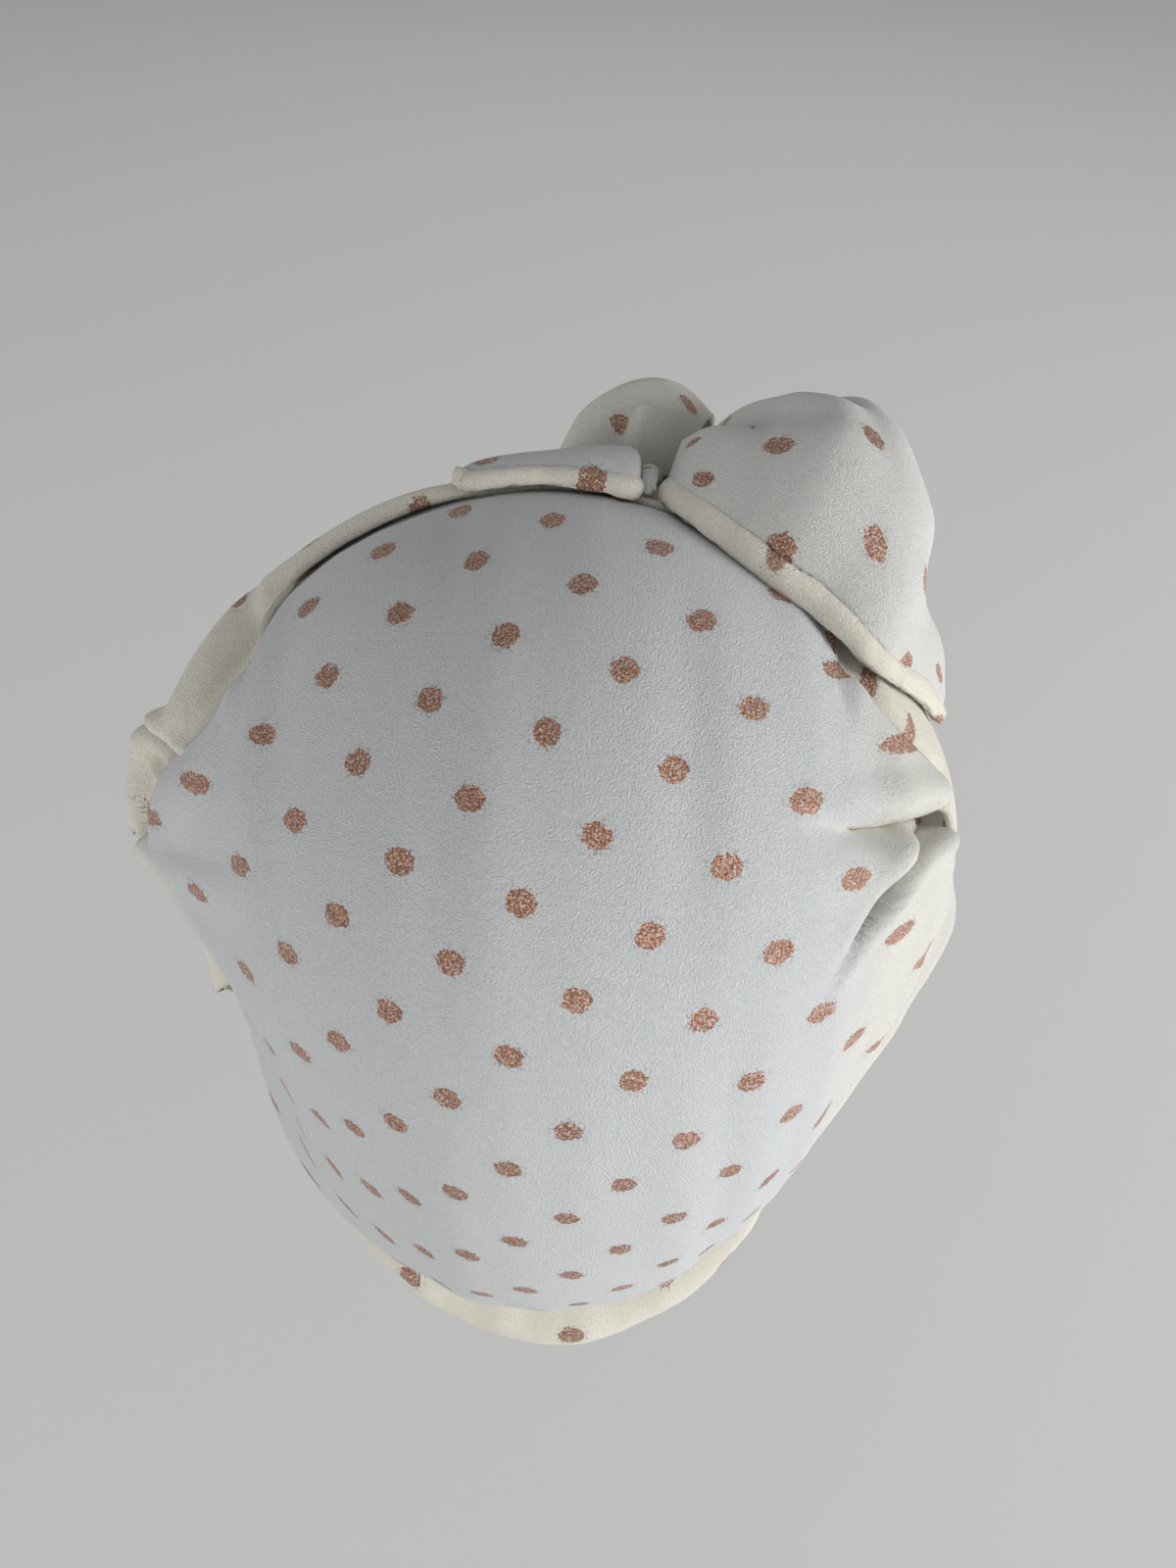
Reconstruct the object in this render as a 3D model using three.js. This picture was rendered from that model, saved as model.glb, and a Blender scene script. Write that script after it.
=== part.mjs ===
// A pre-tied turban headwrap of thin crepe: a full crown bag gathered at both sides, a pleated
// front band with a rolled edge over the head, an elastic nape band, and a bow on the wearer's
// right made of a large puff, a small loop, a folded tail and the knot that pinches them.
// Millimetres, +Z up. The wearer faces -Y. The origin is the head's centre at brow height.
import * as THREE from "three";

// Driving sizes
const headRadius = 100; // head with the wrap on, from its centre to the top of the crown
const crownWall = 1.6; // single crepe with its turned edges
const bandWall = 2; // doubled crepe of the front band
const napeWall = 2.2; // casing with its elastic
const bowWall = 1.8; // doubled crepe of the bow
const hemWall = 3.2; // turned and stitched hem along the puff's rear edge
const restGap = 0.4; // between a piece and what it lies on
const bowSettle = 0.8; // how far the bow's feet settle between the band's pleats

// Angles are in degrees round the line between the ears: 0 points back, 90 up, 180 to the face.
// Across is in degrees from the middle, -90 at the right ear and 90 at the left.
const seamAngle = 112; // the crown's front edge, under the band
const napeAngle = -57; // the crown's lower edge, on the nape band
const crownReach = 88; // how far across the crown runs
const comesOver = { from: 37.7, to: 41 }; // across, where the crown's edge comes out over the band
const goesUnder = { from: 60, to: 65 }; // across, where it goes back under it
const overBand = 2; // rise of the crown's edge where it lies over the band
const bandTuck = 3.4; // how far the band's edge goes down there
const crownSink = 2.2; // how far the crown goes down where the band lies over it

// Faces along and across each piece
const crownSteps = { across: 46, around: 30 };
const bandSteps = { along: 44, up: 13 };
const napeSteps = { along: 28, up: 6 };
const puffSteps = { over: 18, along: 16 };
const loopSteps = { over: 12, along: 10 };
const knotSteps = { over: 14, along: 5 };
const tailSteps = { over: 8, along: 10 };

const degree = Math.PI / 180;

// The wrap's form in the middle plane, as shares of the head radius
const middleForm = [
  { angle: -60, radius: 1.3 },
  { angle: -48, radius: 1.19 },
  { angle: -38, radius: 1.13 },
  { angle: -28, radius: 1.085 },
  { angle: -15, radius: 1.045 },
  { angle: 0, radius: 1.015 },
  { angle: 30, radius: 1 },
  { angle: 90, radius: 1.005 },
  { angle: 113, radius: 1 },
  { angle: 150, radius: 0.98 },
  { angle: 180, radius: 0.97 },
  { angle: 200, radius: 0.97 },
];

// Where the form swells (or, below 0, draws in) towards a direction. Swell is a share of the head
// radius, reach is in degrees.
const formSwells = [
  { x: 0.8, y: 0.57, z: -0.13, swell: -0.14, reach: 33 },
  { x: -0.74, y: 0.62, z: -0.2, swell: -0.085, reach: 36 },
  { x: 0.95, y: 0.12, z: 0.3, swell: 0.06, reach: 22 },
  { x: -0.95, y: 0.12, z: 0.28, swell: 0.045, reach: 22 },
  { x: 0.91, y: 0.4, z: 0.03, swell: -0.04, reach: 15 },
  { x: 0.86, y: 0.25, z: -0.44, swell: -0.055, reach: 22 },
  { x: -0.62, y: 0.4, z: -0.67, swell: -0.06, reach: 20 },
];

// The short side seams that the crown's cloth is drawn onto, as shares of the head radius
const gatherTop = { y: 0.04, z: 0.36 };
const gatherFoot = { y: 0.13, z: 0.12 };

// A fold runs along a curve over the head that starts, passes its middle and ends at an across and
// an angle. Its ridge stands on the left (side 1) or right (side -1) of someone who walks along
// it, and leans over the valley beside it. Height, depth, width and lean are shares of the head
// radius.
const crownFolds = [
  {
    fromX: -66, fromA: 60, overX: -49, overA: 55, toX: -27, toA: 52.5,
    side: -1, height: 0.03, depth: 0.08, width: 0.04, lean: 0.03,
  },
  {
    fromX: -62, fromA: 58, overX: -48.5, overA: 43, toX: -33, toA: 26,
    side: 1, height: 0.04, depth: 0.07, width: 0.04, lean: 0.025,
  },
  {
    fromX: -68, fromA: 20, overX: -58, overA: -10, toX: -45, toA: -25,
    side: 1, height: 0.015, depth: 0.015, width: 0.06, lean: 0,
  },
  {
    fromX: 66, fromA: 70, overX: 51, overA: 72, toX: 35, toA: 92,
    side: 1, height: 0.02, depth: 0.01, width: 0.05, lean: 0.01,
  },
  {
    fromX: 70, fromA: 60, overX: 52, overA: 50, toX: 32, toA: 48,
    side: -1, height: 0.012, depth: 0.012, width: 0.07, lean: 0,
  },
  {
    fromX: 70, fromA: 42, overX: 56, overA: 20, toX: 42, toA: 4,
    side: 1, height: 0.02, depth: 0.02, width: 0.07, lean: 0,
  },
  {
    fromX: 62, fromA: 20, overX: 54, overA: -8, toX: 46, toA: -30,
    side: 1, height: 0.015, depth: 0.015, width: 0.06, lean: 0,
  },
];

// The crown's front edge. Over the head it lies under the band, at the sides on top of it.
const crownEdge = [
  { across: -80, angle: 46 },
  { across: -70, angle: 52 },
  { across: -64, angle: 60 },
  { across: -58, angle: 68.5 },
  { across: -50, angle: 71 },
  { across: -43, angle: 76 },
  { across: -40, angle: 79.5 },
  { across: -38.8, angle: 84 },
  { across: -37.5, angle: 91.5 },
  { across: -35, angle: 103 },
  { across: -31, angle: 112 },
  { across: 31, angle: 112 },
  { across: 35, angle: 103 },
  { across: 37.5, angle: 91.5 },
  { across: 38.8, angle: 84 },
  { across: 40, angle: 79 },
  { across: 43, angle: 74.5 },
  { across: 46, angle: 71.5 },
  { across: 54, angle: 69.5 },
  { across: 59, angle: 66.5 },
  { across: 64, angle: 59 },
  { across: 70, angle: 52 },
  { across: 80, angle: 46 },
];

// The front band's rear edge from the right ear to the left
const bandRear = [
  { across: -70, angle: -45 },
  { across: -77, angle: -18 },
  { across: -78, angle: 20 },
  { across: -76, angle: 44 },
  { across: -71, angle: 58 },
  { across: -64, angle: 63.5 },
  { across: -58, angle: 64 },
  { across: -53, angle: 65.5 },
  { across: -48, angle: 68 },
  { across: -43, angle: 73.5 },
  { across: -40.5, angle: 80 },
  { across: -38.8, angle: 86 },
  { across: -35.5, angle: 95.5 },
  { across: -30, angle: 99.5 },
  { across: -15, angle: 104 },
  { across: 0, angle: 107 },
  { across: 15, angle: 104 },
  { across: 30, angle: 99.5 },
  { across: 35.5, angle: 95.5 },
  { across: 38.8, angle: 86 },
  { across: 40.5, angle: 79.5 },
  { across: 43, angle: 71.5 },
  { across: 46, angle: 66 },
  { across: 52, angle: 61.5 },
  { across: 58, angle: 61.5 },
  { across: 64, angle: 62.5 },
  { across: 70, angle: 59 },
  { across: 75, angle: 46 },
  { across: 78, angle: 20 },
  { across: 77, angle: -18 },
  { across: 70, angle: -45 },
];

// The roll behind the front band's pleats. Its heights are shares of the head radius, and so are
// its width and how far it stands in front of the band's rear edge beside the gathers.
const rollWidth = 0.1;
const rollAside = 0.12;
const rollHeights = [
  { across: -90, height: 0 },
  { across: -40, height: 0 },
  { across: 4, height: 0 },
  { across: 16, height: 0.03 },
  { across: 35, height: 0.035 },
  { across: 50, height: 0.05 },
  { across: 70, height: 0.045 },
  { across: 80, height: 0.01 },
];

// Folds of the band's cloth in the pocket between the roll and the left gather
const bandFolds = [
  {
    fromX: 50, fromA: 66, overX: 55.5, overA: 82, toX: 49, toA: 100,
    side: -1, height: 0.025, depth: 0.05, width: 0.028, lean: 0,
  },
  {
    fromX: 57, fromA: 66, overX: 59, overA: 75, toX: 58, toA: 86,
    side: 1, height: 0, depth: 0.02, width: 0.025, lean: 0,
  },
];

// The front band's lower edge from the middle of the brow to behind the ear, as shares of the
// head radius
const browRim = [
  { x: 0, y: -0.975, z: 0 },
  { x: 0.39, y: -0.89, z: -0.01 },
  { x: 0.66, y: -0.65, z: -0.05 },
  { x: 0.8, y: -0.34, z: -0.12 },
  { x: 0.855, y: -0.04, z: -0.22 },
  { x: 0.845, y: 0.13, z: -0.36 },
];

// Pleats of the front band, as ridges from the ears to the knot. Ear and knot are the angles at
// which a pleat lies there; depth and width are shares of the head radius.
const bandPleats = [
  { ear: 172, knot: 164, depth: 0.016, width: 0.045 },
  { ear: 158, knot: 148, depth: 0.024, width: 0.04 },
  { ear: 142, knot: 134, depth: 0.024, width: 0.04 },
  { ear: 124, knot: 122, depth: 0.02, width: 0.035 },
];
const knotAcross = -19;

// The nape band's lower edge from the middle of the nape to behind the ear, as shares of the
// head radius
const napeHem = [
  { x: 0, y: 0.7, z: -1.33 },
  { x: 0.28, y: 0.645, z: -1.25 },
  { x: 0.5, y: 0.53, z: -1.02 },
  { x: 0.66, y: 0.4, z: -0.79 },
  { x: 0.77, y: 0.28, z: -0.61 },
  { x: 0.81, y: 0.22, z: -0.5 },
];
const napeOverlap = 3; // degrees that the nape band runs up inside the crown
const napeJoin = 0.7; // share of its rows that lie below the crown's edge
const napePuff = 0.055;

// The bow, as sections across it. A section goes over from its rear foot to its front foot. Each
// row says where its feet and its top stand (across, angle) and how high the top is, as a share
// of the head radius.
const puffSections = [
  { share: 0, rearX: -15.4, rearA: 104.5, topX: -16.7, topA: 113, top: 0.12, frontX: -17.8, frontA: 122 },
  { share: 0.12, rearX: -17.2, rearA: 100, topX: -19.8, topA: 115, top: 0.19, frontX: -22, frontA: 133 },
  { share: 0.26, rearX: -22.5, rearA: 95.5, topX: -25, topA: 119, top: 0.275, frontX: -28, frontA: 150 },
  { share: 0.32, rearX: -25, rearA: 93.6, topX: -27.3, topA: 119, top: 0.325, frontX: -30.5, frontA: 155 },
  { share: 0.4, rearX: -29, rearA: 91, topX: -31.5, topA: 118, top: 0.385, frontX: -35, frontA: 157 },
  { share: 0.5, rearX: -34.5, rearA: 88.2, topX: -36.5, topA: 117, top: 0.37, frontX: -41, frontA: 157 },
  { share: 0.64, rearX: -42, rearA: 83, topX: -44, topA: 114, top: 0.275, frontX: -48, frontA: 153 },
  { share: 0.78, rearX: -48.5, rearA: 83.5, topX: -50.5, topA: 114, top: 0.16, frontX: -55, frontA: 148 },
  { share: 0.9, rearX: -55, rearA: 87.5, topX: -57, topA: 114, top: 0.115, frontX: -60, frontA: 142 },
  { share: 1, rearX: -62, rearA: 92, topX: -62, topA: 114, top: 0.07, frontX: -64, frontA: 136 },
];
const loopSections = [
  { share: 0, rearX: -16.5, rearA: 123, topX: -19.5, topA: 131, top: 0.25, frontX: -21.5, frontA: 145 },
  { share: 0.3, rearX: -12.5, rearA: 119, topX: -14.5, topA: 128, top: 0.28, frontX: -16, frontA: 149 },
  { share: 0.6, rearX: -8, rearA: 117.4, topX: -9, topA: 128, top: 0.25, frontX: -10.5, frontA: 149 },
  { share: 0.85, rearX: -4, rearA: 117, topX: -4.5, topA: 127, top: 0.17, frontX: -6, frontA: 146 },
  { share: 1, rearX: -2, rearA: 118, topX: -2.2, topA: 125, top: 0.08, frontX: -3, frontA: 140 },
];
const knotSections = [
  { share: 0, rearX: -13.3, rearA: 104.5, topX: -13.5, topA: 109.5, top: 0.06, frontX: -13.7, frontA: 114 },
  { share: 0.5, rearX: -12.7, rearA: 104.2, topX: -12.9, topA: 109.5, top: 0.07, frontX: -13.1, frontA: 114 },
  { share: 1, rearX: -12.1, rearA: 104.5, topX: -12.3, topA: 109.5, top: 0.06, frontX: -12.5, frontA: 114 },
];
const tailSections = [
  { share: 0, rearX: -10.7, rearA: 104, topX: -10.7, topA: 108.5, top: 0.055, frontX: -10.7, frontA: 113 },
  { share: 0.08, rearX: -10, rearA: 102.8, topX: -10, topA: 108.5, top: 0.08, frontX: -10, frontA: 113.8 },
  { share: 0.5, rearX: 0, rearA: 104.3, topX: 0, topA: 109.5, top: 0.055, frontX: 0, frontA: 113.5 },
  { share: 0.9, rearX: 9, rearA: 104.5, topX: 9, topA: 108.5, top: 0.045, frontX: 9, frontA: 112 },
  { share: 1, rearX: 11.5, rearA: 106, topX: 11.5, topA: 108, top: 0.03, frontX: 11.5, frontA: 110 },
];

// Dents of the puff and of the loop
const puffFolds = [
  {
    fromX: -17, fromA: 121, overX: -24, overA: 112, toX: -31, toA: 104,
    side: 1, height: 0.01, depth: 0.03, width: 0.05, lean: 0,
  },
  {
    fromX: -30, fromA: 121, overX: -33, overA: 108, toX: -38, toA: 97,
    side: 1, height: 0.01, depth: 0.02, width: 0.06, lean: 0,
  },
];
const loopFolds = [
  {
    fromX: -13, fromA: 115, overX: -10.5, overA: 119, toX: -6, toA: 118.5,
    side: 1, height: 0.02, depth: 0.02, width: 0.03, lean: 0,
  },
];

const mix = THREE.MathUtils.lerp;
const clamp = THREE.MathUtils.clamp;

function ease(low, high, value) {
  return THREE.MathUtils.smoothstep(value, low, high);
}

// The value of one column of a table at a key, on a smooth curve through its rows
function along(table, key, column, at) {
  const last = table.length - 1;
  const place = clamp(at, table[0][key], table[last][key]);
  let row = 0;
  while (row < last - 1 && table[row + 1][key] < place) row += 1;
  const slope = (i) => {
    const before = table[Math.max(i - 1, 0)];
    const after = table[Math.min(i + 1, last)];
    return (after[column] - before[column]) / (after[key] - before[key]);
  };
  const [from, to] = [table[row], table[row + 1]];
  const span = to[key] - from[key];
  const t = (place - from[key]) / span;
  const startPull = t * (1 - t) * (1 - t) * span * slope(row);
  const endPull = t * t * (t - 1) * span * slope(row + 1);
  return mix(from[column], to[column], t * t * (3 - 2 * t)) + startPull + endPull;
}

function directionAt(across, angle) {
  const middle = Math.cos(across * degree);
  return new THREE.Vector3(
    Math.sin(across * degree),
    middle * Math.cos(angle * degree),
    middle * Math.sin(angle * degree),
  );
}

function anglesOf(direction) {
  const turn = Math.atan2(direction.z, direction.y) / degree;
  return {
    across: Math.asin(clamp(direction.x, -1, 1)) / degree,
    angle: turn < -90 ? turn + 360 : turn,
  };
}

// The form's radius towards a direction
function formRadius(direction) {
  const { across, angle } = anglesOf(direction);
  const middle = Math.cos(across * degree) ** 1.5;
  let share = 1 + (along(middleForm, "angle", "radius", angle) - 1) * middle;
  for (const row of formSwells) {
    const away = direction.angleTo(new THREE.Vector3(row.x, row.y, row.z)) / degree;
    share += row.swell * Math.exp(-((away / row.reach) ** 2));
  }
  return headRadius * share;
}

function formPoint(direction, lift) {
  return direction.clone().multiplyScalar(formRadius(direction) + lift);
}

// A direction on the crown. Its sections all run from one side seam to the other.
function crownDirection(angle, across) {
  const share = clamp((seamAngle - angle) / (seamAngle - napeAngle), 0, 1);
  const towards = (1 - Math.cos(across * degree)) ** 2;
  const direction = directionAt(across, angle);
  direction.y += towards * mix(gatherTop.y, gatherFoot.y, share);
  direction.z += towards * mix(gatherTop.z, gatherFoot.z, share);
  return direction.normalize();
}

// A value that passes through three others, at shares 0, a half and 1
function bend(share, start, middle, end) {
  const pull = 2 * middle - (start + end) / 2;
  return (1 - share) ** 2 * start + 2 * share * (1 - share) * pull + share ** 2 * end;
}

// Directions along a fold's valley
function foldMarks(fold) {
  return Array.from({ length: 60 }, (_, i) =>
    directionAt(
      bend(i / 59, fold.fromX, fold.overX, fold.toX),
      bend(i / 59, fold.fromA, fold.overA, fold.toA),
    ),
  );
}

// How far folds lift the cloth off its form towards a direction, and how far they push it aside
function foldShift(direction, folds) {
  const shift = { lift: 0, push: new THREE.Vector3() };
  for (const fold of folds) {
    const marks = foldMarks(fold);
    let nearest = 0;
    marks.forEach((mark, i) => {
      if (mark.dot(direction) > marks[nearest].dot(direction)) nearest = i;
    });
    const next = clamp(nearest + 1, 1, marks.length - 1);
    const run = marks[next].clone().sub(marks[next - 1]).normalize();
    const left = marks[nearest].clone().cross(run).normalize();
    const away = direction.clone().sub(marks[nearest]);
    const beyond = Math.max(Math.abs(away.dot(run)) / fold.width - 0.3, 0);
    const fade = 1 - ease(0.4, 1, nearest / (marks.length - 1));
    const strength = headRadius * Math.exp(-(beyond ** 2)) * fade;
    const off = (fold.side * away.dot(left)) / fold.width;
    const ridge = Math.exp(-(((off - 1) / 0.9) ** 2)) + 0.9 * Math.exp(-(((off + 2.1) / 0.9) ** 2));
    const valley = Math.exp(-((off / (off > 0 ? 0.6 : 1.1)) ** 2));
    const over = fold.lean * Math.exp(-(((off - 0.8) / 0.9) ** 2));
    shift.lift += strength * (fold.height * ridge - fold.depth * valley);
    shift.push.addScaledVector(left, -fold.side * strength * over);
  }
  return shift;
}

// Half of an edge mirrored to a whole curve, from the right end to the left
function mirroredCurve(left) {
  const right = left.slice(1).map((p) => new THREE.Vector3(-p.x, p.y, p.z));
  return new THREE.CatmullRomCurve3([...right.reverse(), ...left], false, "centripetal");
}

const bandRearCurve = new THREE.CatmullRomCurve3(
  bandRear.map((row) => directionAt(row.across, row.angle)),
  false,
  "centripetal",
);
const browCurve = mirroredCurve(
  browRim.map((row) => new THREE.Vector3(row.x, row.y, row.z).multiplyScalar(headRadius)),
);

const rearMarks = bandRearCurve.getPoints(150).map((point) => point.normalize());

// How far in front of the band's rear edge a direction lies, below 0 behind it and past its ends
function pastRear(direction) {
  let nearest = 0;
  rearMarks.forEach((mark, i) => {
    if (mark.distanceToSquared(direction) < rearMarks[nearest].distanceToSquared(direction)) nearest = i;
  });
  const next = Math.min(nearest + 1, rearMarks.length - 1);
  const mark = rearMarks[nearest];
  const run = rearMarks[next].clone().sub(rearMarks[next - 1]).normalize();
  const forward = run.clone().cross(mark).normalize();
  const away = direction.clone().sub(mark);
  return away.dot(forward) - 3 * Math.max(Math.abs(away.dot(run)) - 0.05, 0);
}

// How far the crown's edge has come out over the band: 0 over the head, 1 beside the gathers
function besideGather(direction) {
  const side = Math.abs(anglesOf(direction).across);
  return ease(comesOver.from, comesOver.to, side) * (1 - ease(goesUnder.from, goesUnder.to, side));
}

// The crown's cloth goes down a little under the band and lies on it beside the gathers
function crownPoint(angle, across) {
  const direction = crownDirection(angle, across);
  const { lift, push } = foldShift(direction, crownFolds);
  const beside = besideGather(direction);
  const covered = ease(-0.09, -0.03, pastRear(direction)) * (1 - beside);
  const edge = along(crownEdge, "across", "angle", across);
  const behindEdge = (edge - angle) * degree * Math.cos(across * degree);
  const over = overBand * beside * (1 - ease(0, 0.16, behindEdge));
  const point = formPoint(direction, mix(lift + over, Math.min(lift, 0) - crownSink, covered));
  return point.addScaledVector(push, 1 - covered);
}

// The band's cloth over its form towards a direction, with pleats and the rolled rear edge
function bandLift(direction) {
  const { across, angle } = anglesOf(direction);
  const middle = Math.cos(across * degree);
  const ends = 1 - ease(55, 78, Math.abs(across));
  const fromKnot = ease(4, 70, Math.abs(across - knotAcross));
  let lift = 0;
  for (const pleat of bandPleats) {
    const off = ((angle - mix(pleat.knot, pleat.ear, fromKnot)) * degree * middle) / pleat.width;
    lift += pleat.depth * ends * Math.exp(-(off ** 2));
  }
  const past = pastRear(direction);
  const side = Math.abs(across);
  const aside = rollAside * ease(32, 52, side) * (1 - ease(60, 70, side));
  const arch = Math.sin(Math.PI * clamp((past - aside) / rollWidth, 0, 1) ** 0.7);
  lift += along(rollHeights, "across", "height", across) * arch;
  const gathered = foldShift(direction, bandFolds).lift;
  const under = bandTuck * besideGather(direction) * (1 - ease(0.04, 0.12, past));
  return restGap + bandWall + lift * headRadius + gathered - under;
}

function bandPoint(t, share) {
  const rim = browCurve.getPoint(t);
  const rear = bandRearCurve.getPoint(t).normalize();
  const turn = rim.angleTo(rear);
  const direction = rim.clone().normalize().multiplyScalar(Math.sin((1 - share) * turn));
  direction.addScaledVector(rear, Math.sin(share * turn)).normalize();
  const rimLift = rim.length() - formRadius(rim.clone().normalize());
  const lift = bandLift(direction) + mix(rimLift, 0, ease(0, 0.5, share));
  return formPoint(direction, lift);
}

// The lift of whatever lies under the bow towards a direction
function groundLift(direction) {
  const onBand = ease(-0.06, -0.03, pastRear(direction));
  return mix(restGap, bandLift(direction) - bowSettle, onBand);
}

// A point on a section of the bow. Over runs from the rear foot to the front foot.
function bowPoint(sections, share, over, fullness, folds) {
  const at = (column) => along(sections, "share", column, share);
  const direction = directionAt(
    bend(over, at("rearX"), at("topX"), at("frontX")),
    bend(over, at("rearA"), at("topA"), at("frontA")),
  );
  const rise = at("top") * headRadius * Math.sin(Math.PI * over) ** fullness;
  const dented = rise + foldShift(direction, folds).lift;
  return formPoint(direction, Math.max(groundLift(direction), dented) + bowWall);
}

// A closed wall under a grid of outer points. Thickness is measured inwards at each point.
function wallGeometry(points, thickness) {
  const rows = points.length;
  const columns = points[0].length;
  const inner = points.map((row, i) =>
    row.map((point, j) => {
      const up = points[Math.min(i + 1, rows - 1)][j].clone();
      up.sub(points[Math.max(i - 1, 0)][j]);
      const across = row[Math.min(j + 1, columns - 1)].clone();
      across.sub(row[Math.max(j - 1, 0)]);
      const inward = across.cross(up).normalize();
      return point.clone().addScaledVector(inward, thickness(i / (rows - 1), j / (columns - 1)));
    }),
  );
  const positions = [];
  const quad = (a, b, c, d) => {
    const near = a.distanceTo(c) <= b.distanceTo(d);
    const corners = near ? [a, b, c, a, c, d] : [a, b, d, b, c, d];
    for (const p of corners) positions.push(p.x, p.y, p.z);
  };
  const lastRow = rows - 1;
  const lastColumn = columns - 1;
  for (let i = 0; i < lastRow; i += 1) {
    for (let j = 0; j < lastColumn; j += 1) {
      quad(points[i][j], points[i + 1][j], points[i + 1][j + 1], points[i][j + 1]);
      quad(inner[i][j], inner[i][j + 1], inner[i + 1][j + 1], inner[i + 1][j]);
    }
    quad(points[i + 1][0], points[i][0], inner[i][0], inner[i + 1][0]);
    quad(points[i][lastColumn], points[i + 1][lastColumn], inner[i + 1][lastColumn], inner[i][lastColumn]);
  }
  for (let j = 0; j < lastColumn; j += 1) {
    quad(points[0][j], points[0][j + 1], inner[0][j + 1], inner[0][j]);
    quad(points[lastRow][j + 1], points[lastRow][j], inner[lastRow][j], inner[lastRow][j + 1]);
  }
  const geometry = new THREE.BufferGeometry();
  geometry.setAttribute("position", new THREE.Float32BufferAttribute(positions, 3));
  geometry.computeVertexNormals();
  return geometry;
}

// Points of a surface given by two shares from 0 to 1
function grid(firstSteps, secondSteps, point) {
  return Array.from({ length: firstSteps + 1 }, (_, i) =>
    Array.from({ length: secondSteps + 1 }, (_, j) => point(i / firstSteps, j / secondSteps)),
  );
}

function crownGeometry() {
  const points = grid(crownSteps.across, crownSteps.around, (s, t) => {
    const side = 2 * s - 1;
    const across = crownReach * side * (1.3 - 0.3 * side ** 2);
    return crownPoint(mix(napeAngle, along(crownEdge, "across", "angle", across), t), across);
  });
  return wallGeometry(points, () => crownWall);
}

function bandGeometry() {
  const points = grid(bandSteps.along, bandSteps.up, (s, t) => bandPoint(s, t ** 0.8));
  return wallGeometry(points, () => bandWall);
}

function napeGeometry() {
  const hemCurve = mirroredCurve(
    napeHem.map((row) => new THREE.Vector3(row.x, row.y, row.z).multiplyScalar(headRadius)),
  );
  const points = grid(napeSteps.along, napeSteps.up, (s, t) => {
    const hem = hemCurve.getPoint(s);
    const inside = Math.max(t - napeJoin, 0) / (1 - napeJoin);
    const direction = crownDirection(napeAngle + napeOverlap * (inside - 0.4), mix(-63, 63, s));
    const top = formPoint(direction, -(crownWall + 6 * restGap));
    const below = Math.min(t / napeJoin, 1);
    const out = new THREE.Vector3(hem.x, hem.y, 0).normalize();
    const bulge = napePuff * headRadius * Math.sin(Math.PI * below) * Math.sin(Math.PI * s) ** 2;
    return hem.lerp(top, below).addScaledVector(out, bulge);
  });
  return wallGeometry(points, () => napeWall);
}

function puffGeometry() {
  const points = grid(puffSteps.over, puffSteps.along, (over, share) =>
    bowPoint(puffSections, share, over, 0.8, puffFolds),
  );
  return wallGeometry(points, (over) => mix(hemWall, bowWall, ease(0.03, 0.12, over)));
}

function loopGeometry() {
  const points = grid(loopSteps.over, loopSteps.along, (over, share) =>
    bowPoint(loopSections, share, 1 - over, 0.6, loopFolds),
  );
  return wallGeometry(points, () => bowWall);
}

function knotGeometry() {
  const points = grid(knotSteps.over, knotSteps.along, (over, share) =>
    bowPoint(knotSections, share, 1 - over, 0.7, []),
  );
  return wallGeometry(points, () => bowWall);
}

function tailGeometry() {
  const points = grid(tailSteps.over, tailSteps.along, (over, share) =>
    bowPoint(tailSections, share, 1 - over, 0.5, []),
  );
  return wallGeometry(points, () => bowWall);
}

function cloth(name, geometry, color) {
  const material = new THREE.MeshStandardMaterial({ color, roughness: 0.75, metalness: 0 });
  const mesh = new THREE.Mesh(geometry, material);
  mesh.name = name;
  return mesh;
}

const turban = new THREE.Group();
turban.add(cloth("crown", crownGeometry(), 0xdfe0df));
turban.add(cloth("front_band", bandGeometry(), 0xe6e3d8));
turban.add(cloth("nape_band", napeGeometry(), 0xece6d4));
turban.add(cloth("bow_puff", puffGeometry(), 0xdedcd6));
turban.add(cloth("bow_loop", loopGeometry(), 0xdedcd6));
turban.add(cloth("bow_tail", tailGeometry(), 0xdedcd6));
turban.add(cloth("knot", knotGeometry(), 0xe2dfd6));

export default turban;
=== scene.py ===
import math

import bpy
import numpy as np
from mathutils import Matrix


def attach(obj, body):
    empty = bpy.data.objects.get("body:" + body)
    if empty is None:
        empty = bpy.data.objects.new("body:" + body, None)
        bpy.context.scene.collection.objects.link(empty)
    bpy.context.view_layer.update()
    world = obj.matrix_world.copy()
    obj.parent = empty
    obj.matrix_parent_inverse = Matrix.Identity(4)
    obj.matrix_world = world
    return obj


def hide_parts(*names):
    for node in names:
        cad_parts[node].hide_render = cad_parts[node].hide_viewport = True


# A pre-tied crepe turban with foil dots, as it is worn, seen from behind and above
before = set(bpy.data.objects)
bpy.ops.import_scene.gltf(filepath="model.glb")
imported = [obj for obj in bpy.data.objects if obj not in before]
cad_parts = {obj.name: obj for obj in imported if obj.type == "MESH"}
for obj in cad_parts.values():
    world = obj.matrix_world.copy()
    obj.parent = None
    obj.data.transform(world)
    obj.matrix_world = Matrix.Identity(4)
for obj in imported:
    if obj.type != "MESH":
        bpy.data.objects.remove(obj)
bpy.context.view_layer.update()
mm = 0.001
degree = math.pi / 180


# Camera: close behind and above the wrap
cameraSettings = {"place": (-9.3, 217.4, 233.2), "down": 43, "lens": 27, "filmHeight": 36}


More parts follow.
